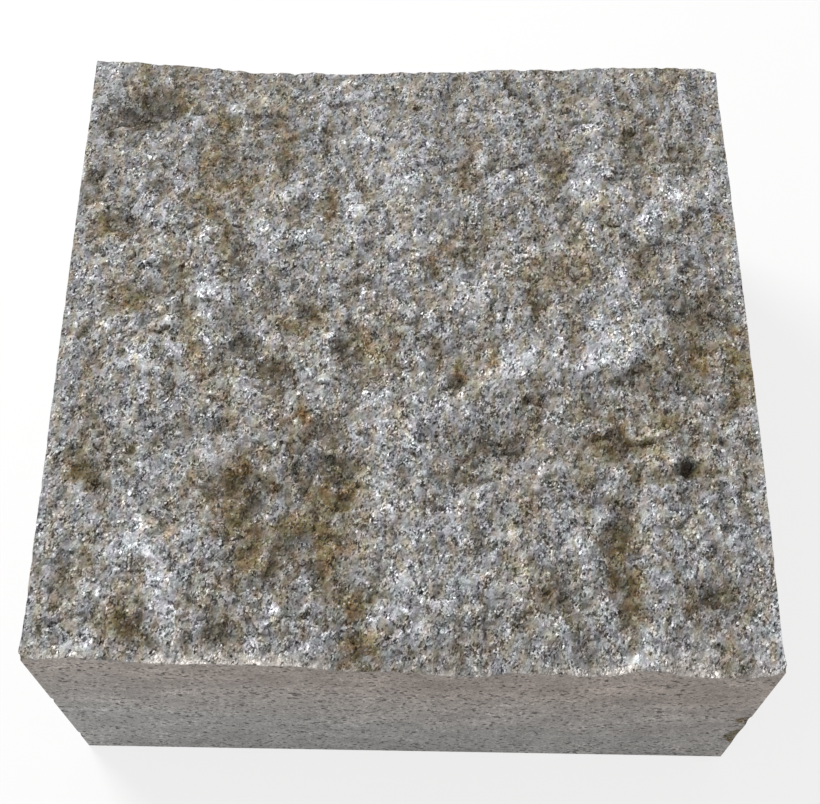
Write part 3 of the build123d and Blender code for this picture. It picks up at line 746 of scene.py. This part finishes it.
def splitColour(tree, coords, field, grains):
    look = graniteLook
    # some places are full of light and dark grains and others are plain, and stain evens the grains out
    patch = add(tree, "TexNoise", {"Scale": 1 / (look["patch"] * mm), "Detail": 1.0}, {"Vector": coords})
    patchPick = add(tree, "SeparateColor", links={"Color": patch.outputs["Color"]}).outputs
    plainest, liveliest = look["lively"]
    lively = add(tree, "MapRange", {"From Min": 0.34, "From Max": 0.68, "To Min": plainest,
                 "To Max": liveliest}, {"Value": patchPick["Red"]})
    evened = add(tree, "MapRange", {"To Min": 1.0, "To Max": look["stainEvens"]},
                 {"Value": field["rust"]})
    keenness = add(tree, "Math", {"operation": "MULTIPLY"}, {0: evened, 1: field["keen"]})
    spread = add(tree, "Math", {"operation": "MULTIPLY"}, {0: lively, 1: keenness})
    # pale and dark blotches, large pale feldspars and knots of mica
    slant = add(tree, "Mapping", {"vector_type": "TEXTURE", "Rotation": look["blotchTurn"],
                "Scale": look["blotchDraw"]}, {"Vector": grains["bent"]})
    blotch = add(tree, "TexNoise", {"Scale": 1 / (look["blotch"] * mm), "Detail": 3.0, "Roughness": 0.6},
                 {"Vector": slant})
    blotchLog = add(tree, "MapRange", {"interpolation_type": "SMOOTHSTEP", "From Min": 0.36,
                    "From Max": 0.64, "To Min": -look["blotchSpread"], "To Max": look["blotchSpread"]},
                    {"Value": blotch})
    crystal = add(tree, "TexVoronoi", {"Scale": 1 / (look["crystal"] * mm)}, {"Vector": grains["bent"]})
    crystalPick = add(tree, "SeparateColor", links={"Color": crystal.outputs["Color"]}).outputs
    feldspar = add(tree, "MapRange", {"From Min": 0.93, "From Max": 0.96,
                   "To Max": look["crystalSpread"]}, {"Value": crystalPick["Red"]})
    knot = add(tree, "MapRange", {"From Min": 0.05, "From Max": 0.09, "To Min": -look["crystalSpread"],
               "To Max": 0.0}, {"Value": crystalPick["Red"]})
    large = add(tree, "Math", {"operation": "ADD"}, {0: feldspar, 1: knot})
    uneven = add(tree, "Math", {"operation": "ADD"}, {0: blotchLog, 1: large})
    splitLog = add(tree, "Math", {"operation": "MULTIPLY_ADD"},
                   {0: grains["toneLog"], 1: spread, 2: uneven})
    grainLift = add(tree, "Math", {"operation": "MULTIPLY_ADD", 1: look["grainLift"], 2: 1.0},
                    {0: splitLog})
    grainFloor = add(tree, "Math", {"operation": "MAXIMUM", 1: look["darkest"]}, {0: grainLift})
    grainTone = add(tree, "Math", {"operation": "POWER", 1: 2.0}, {0: grainFloor})
    # low dark places are warm and high pale places cool, and places differ, also from greenish to pinkish
    drawn = add(tree, "Mapping", {"vector_type": "TEXTURE", "Rotation": look["hueTurn"],
                "Scale": look["hueDraw"]}, {"Vector": coords})
    hue = add(tree, "TexNoise", {"Scale": 1 / (look["hue"] * mm), "Detail": 0.0}, {"Vector": drawn})
    coolSpread, coolShift = look["coolSpread"]
    cool = add(tree, "Math", {"operation": "MULTIPLY_ADD", 1: coolSpread, 2: coolShift}, {0: hue})
    coolPlace = add(tree, "Math", {"operation": "MULTIPLY_ADD", 1: look["coolTone"]},
                    {0: field["tone"], 2: cool})
    coolShare = add(tree, "Math", {"operation": "MULTIPLY_ADD", 1: look["coolGrain"],
                    "use_clamp": True}, {0: grainTone, 2: coolPlace})
    mineral = add(tree, "Mix", {"data_type": "RGBA", "A": linear(look["warmColour"]),
                  "B": linear(look["paleColour"])}, {"Factor": coolShare})
    blush = add(tree, "MapRange", {"From Min": 0.35, "From Max": 0.65}, {"Value": patchPick["Blue"]})
    tints = add(tree, "Mix", {"data_type": "RGBA", "A": linear(look["greenTint"]),
                "B": linear(look["pinkTint"])}, {"Factor": blush})
    blushed = add(tree, "Mix", {"data_type": "RGBA", "blend_type": "MULTIPLY", "Factor": 1.0},
                  {"A": mineral, "B": tints})
    toned = add(tree, "VectorMath", {"operation": "SCALE"}, {0: blushed, "Scale": field["tone"]})
    # stain tints the stone, olive in some places and brown in others, pale grains less than dark ones, and
    # bled iron tints it orange
    stain = add(tree, "Mix", {"data_type": "RGBA", "A": linear(look["oliveTint"]),
                "B": linear(look["brownTint"])}, {"Factor": blush})
    hold = add(tree, "Math", {"operation": "MULTIPLY_ADD", 1: -look["stainHold"],
               2: 1 + look["stainHold"]}, {0: grainTone})
    stainShare = add(tree, "Math", {"operation": "MULTIPLY", "use_clamp": True},
                     {0: field["rust"], 1: hold})
    stained = add(tree, "Mix", {"data_type": "RGBA", "blend_type": "MULTIPLY"},
                  {"Factor": stainShare, "A": toned, "B": stain})
    bled = add(tree, "Mix", {"data_type": "RGBA", "blend_type": "MULTIPLY",
               "B": linear(look["ironTint"])}, {"Factor": field["iron"], "A": stained})
    # grains shift all three colours alike on the scale the eye sees, so they leave the tint as it is
    seenBase = add(tree, "Gamma", {"Gamma": 0.5}, {"Color": bled})
    seenGrey = add(tree, "RGBToBW", links={"Color": seenBase})
    offOne = add(tree, "Math", {"operation": "SUBTRACT", 1: 1.0}, {0: grainFloor})
    shift = add(tree, "Math", {"operation": "MULTIPLY"}, {0: seenGrey, 1: offOne})
    shifted = add(tree, "VectorMath", {"operation": "ADD"}, {0: seenBase, 1: shift})
    floored = add(tree, "VectorMath", {"operation": "MAXIMUM", 1: (0.05, 0.05, 0.05)}, {0: shifted})
    grained = add(tree, "Gamma", {"Gamma": 2.0}, {"Color": floored})
    # a few grains painted bright as glints, painted highlights of cleavage faces, fewer where stained, and
    # many dark mica grains
    glintStart, glintClean, glintStained = look["paintedGlint"]
    glintMost = add(tree, "MapRange", {"To Min": glintClean, "To Max": glintStained},
                    {"Value": field["rust"]})
    isPaintedGlint = add(tree, "MapRange", {"From Min": glintStart, "From Max": glintStart + 0.005},
                  {"Value": grains["pick"]["Blue"], "To Max": glintMost})
    paintedGlinted = add(tree, "Mix", {"data_type": "RGBA", "B": linear(look["paintedGlintColour"])},
                  {"Factor": isPaintedGlint, "A": grained})
    micaMost, micaDark = look["mica"]
    micaShare = add(tree, "Math", {"operation": "MULTIPLY", 1: micaMost}, {0: lively})
    micaPast = add(tree, "Math", {"operation": "SUBTRACT"}, {0: grains["pick"]["Green"], 1: micaShare})
    isMica = add(tree, "MapRange", {"From Max": 0.03, "To Min": micaDark, "To Max": 0.0},
                 {"Value": micaPast})
    flecked = add(tree, "Mix", {"data_type": "RGBA", "B": linear(look["micaColour"])},
                  {"Factor": isMica, "A": paintedGlinted})
    # crushed grit along the front arris
    paleGrit = add(tree, "VectorMath", {"operation": "SCALE", 0: linear(look["crushColour"])[:3]},
                   {"Scale": grainTone})
    return add(tree, "Mix", {"data_type": "RGBA"}, {"Factor": field["crush"], "A": flecked, "B": paleGrit})


def sawnColour(tree, coords, field, grains):
    # the same minerals cut flat, so the tones lie close together, a little cloudy, painted browner and
    # darker near the top as painted shade, with flecks of mica that crowd together in places
    look = graniteLook
    level = add(tree, "VectorMath", {"operation": "MULTIPLY", 1: look["cloudyDraw"]}, {0: coords})
    cloudy = add(tree, "TexNoise", {"Scale": 1 / (look["cloudy"] * mm), "Detail": 4.0,
                 "Roughness": 0.6}, {"Vector": level})
    cloudLog = add(tree, "Math", {"operation": "MULTIPLY_ADD", 1: look["cloudSpread"],
                   2: -look["cloudSpread"] / 2}, {0: cloudy})
    sawnLog = add(tree, "Math", {"operation": "MULTIPLY_ADD", 1: look["sawnSpread"]},
                  {0: grains["toneLog"], 2: cloudLog})
    sawnTone = add(tree, "Math", {"operation": "EXPONENT"}, {0: sawnLog})
    mineral = add(tree, "Mix", {"data_type": "RGBA", "A": linear(look["sawnColour"]),
                  "B": linear(look["sawnTopShade"])}, {"Factor": field["topShade"]})
    ground = add(tree, "VectorMath", {"operation": "SCALE"}, {0: mineral, "Scale": sawnTone})
    perMm = add(tree, "VectorMath", {"operation": "MULTIPLY", 1: look["fleck"]}, {0: grains["bent"]})
    fleck = add(tree, "TexVoronoi", {"Scale": 1 / mm}, {"Vector": perMm})
    fleckPick = add(tree, "SeparateColor", links={"Color": fleck.outputs["Color"]}).outputs
    fewest, most = look["crowd"]
    crowd = add(tree, "MapRange", {"From Min": 0.38, "From Max": 0.62, "To Min": fewest,
                "To Max": most}, {"Value": cloudy})
    fleckPast = add(tree, "Math", {"operation": "SUBTRACT"}, {0: fleckPick["Green"], 1: crowd})
    isFleck = add(tree, "MapRange", {"From Max": 0.05, "To Min": 1.0, "To Max": 0.0},
                  {"Value": fleckPast})
    fleckDepth = add(tree, "MapRange", {"From Min": 0.3, "To Min": 0.1, "To Max": 1.0},
                     {"Value": fleckPick["Blue"]})
    fleckShare = add(tree, "Math", {"operation": "MULTIPLY"}, {0: isFleck, 1: fleckDepth})
    dark = add(tree, "VectorMath", {"operation": "SCALE", "Scale": look["fleckDark"]}, {0: ground})
    return add(tree, "Mix", {"data_type": "RGBA"}, {"Factor": fleckShare, "A": ground, "B": dark})


def paintGranite(piece):
    look = graniteLook
    material = bpy.data.materials.new("splitGranite")
    material.use_nodes = True
    tree = material.node_tree
    tree.nodes.clear()
    coords = add(tree, "TexCoord").outputs["Object"]
    field = {n: add(tree, "Attribute", {"attribute_name": n}).outputs["Fac"] for n in fields}
    grains = grainPattern(tree, coords)
    colour = add(tree, "Mix", {"data_type": "RGBA"},
                 {"Factor": field["sawn"], "A": splitColour(tree, coords, field, grains),
                  "B": sawnColour(tree, coords, field, grains)})
    # grains stand out of the split face and hardly at all out of the sawn ones
    rough = add(tree, "MapRange", {"To Min": 1.0, "To Max": look["sawnBump"]}, {"Value": field["sawn"]})
    bump = add(tree, "Bump", {"Distance": 1.0}, {"Height": grains["height"], "Strength": rough})
    shader = add(tree, "BsdfPrincipled", {"Roughness": look["roughness"],
                 "Specular IOR Level": look["specular"]}, {"Base Color": colour, "Normal": bump})
    add(tree, "OutputMaterial", links={"Surface": shader})
    piece.data.materials.append(material)


paintGranite(stone)
print("granite painted")

# pale floor, soft light from above and a little from the back left, camera as in the photograph
studio = {
    "floor": "#f7f7f6",
    "floorHalf": 20.0,          # m
    "floorLift": 0.75,          # how far the floor is lifted to white for the camera
    "worldStrength": 0.54,
    "lampPower": 18.0,          # W
    "lampPlace": (-0.85, 0.80, 1.1),            # m
    "lampSize": 0.6,            # m
    "cameraPlace": (8.41, -264.08, 567.25),     # mm
    "cameraTurn": (27.460, 0.158, 1.043),       # degrees
    "lens": 62.95,              # mm, on a sensor 36 mm wide
    "sensor": 36,
    "nearest": 10.0,            # mm, what is nearer to the camera is left out
}
half = studio["floorHalf"]
floorMesh = bpy.data.meshes.new("floor")
floorCorners = [(-half, -half, 0), (half, -half, 0), (half, half, 0), (-half, half, 0)]
floorMesh.from_pydata(floorCorners, [], [(0, 1, 2, 3)])
floor = bpy.data.objects.new("floor", floorMesh)
bpy.context.scene.collection.objects.link(floor)
floorPaint = bpy.data.materials.new("paleFloor")
floorPaint.use_nodes = True
floorTree = floorPaint.node_tree
floorTree.nodes.clear()
matt = add(floorTree, "BsdfDiffuse", {"Color": linear(studio["floor"])})
white = add(floorTree, "Emission", {"Color": (1, 1, 1, 1), "Strength": 1.0})
seen = add(floorTree, "LightPath").outputs
seenGloss = add(floorTree, "Math", {"operation": "MAXIMUM"},
                {0: seen["Is Camera Ray"], 1: seen["Is Glossy Ray"]})
seenAll = add(floorTree, "Math", {"operation": "MAXIMUM"},
              {0: seenGloss, 1: seen["Is Transmission Ray"]})
lifted = add(floorTree, "Math", {"operation": "MULTIPLY", 1: studio["floorLift"]}, {0: seenAll})
floorMix = add(floorTree, "MixShader", links={0: lifted, 1: matt, 2: white})
add(floorTree, "OutputMaterial", links={"Surface": floorMix})
floorMesh.materials.append(floorPaint)

world = bpy.data.worlds.new("studio")
bpy.context.scene.world = world
world.use_nodes = True
sky = world.node_tree.nodes["Background"]
sky.inputs["Color"].default_value = (1, 1, 1, 1)
sky.inputs["Strength"].default_value = studio["worldStrength"]

lampData = bpy.data.lights.new("softLamp", "AREA")
lampData.energy = studio["lampPower"]
lampData.size = studio["lampSize"]
lamp = bpy.data.objects.new("softLamp", lampData)
bpy.context.scene.collection.objects.link(lamp)
lamp.location = studio["lampPlace"]
lamp.rotation_euler = (-lamp.location).to_track_quat("-Z", "Y").to_euler()

cameraData = bpy.data.cameras.new("camera")
cameraData.sensor_width = studio["sensor"]
cameraData.lens = studio["lens"]
cameraData.clip_start = studio["nearest"] * mm
camera = bpy.data.objects.new("camera", cameraData)
bpy.context.scene.collection.objects.link(camera)
camera.location = [c * mm for c in studio["cameraPlace"]]
camera.rotation_euler = [math.radians(a) for a in studio["cameraTurn"]]
bpy.context.scene.camera = camera
bpy.context.scene.view_settings.view_transform = "Standard"

print("scene ready")
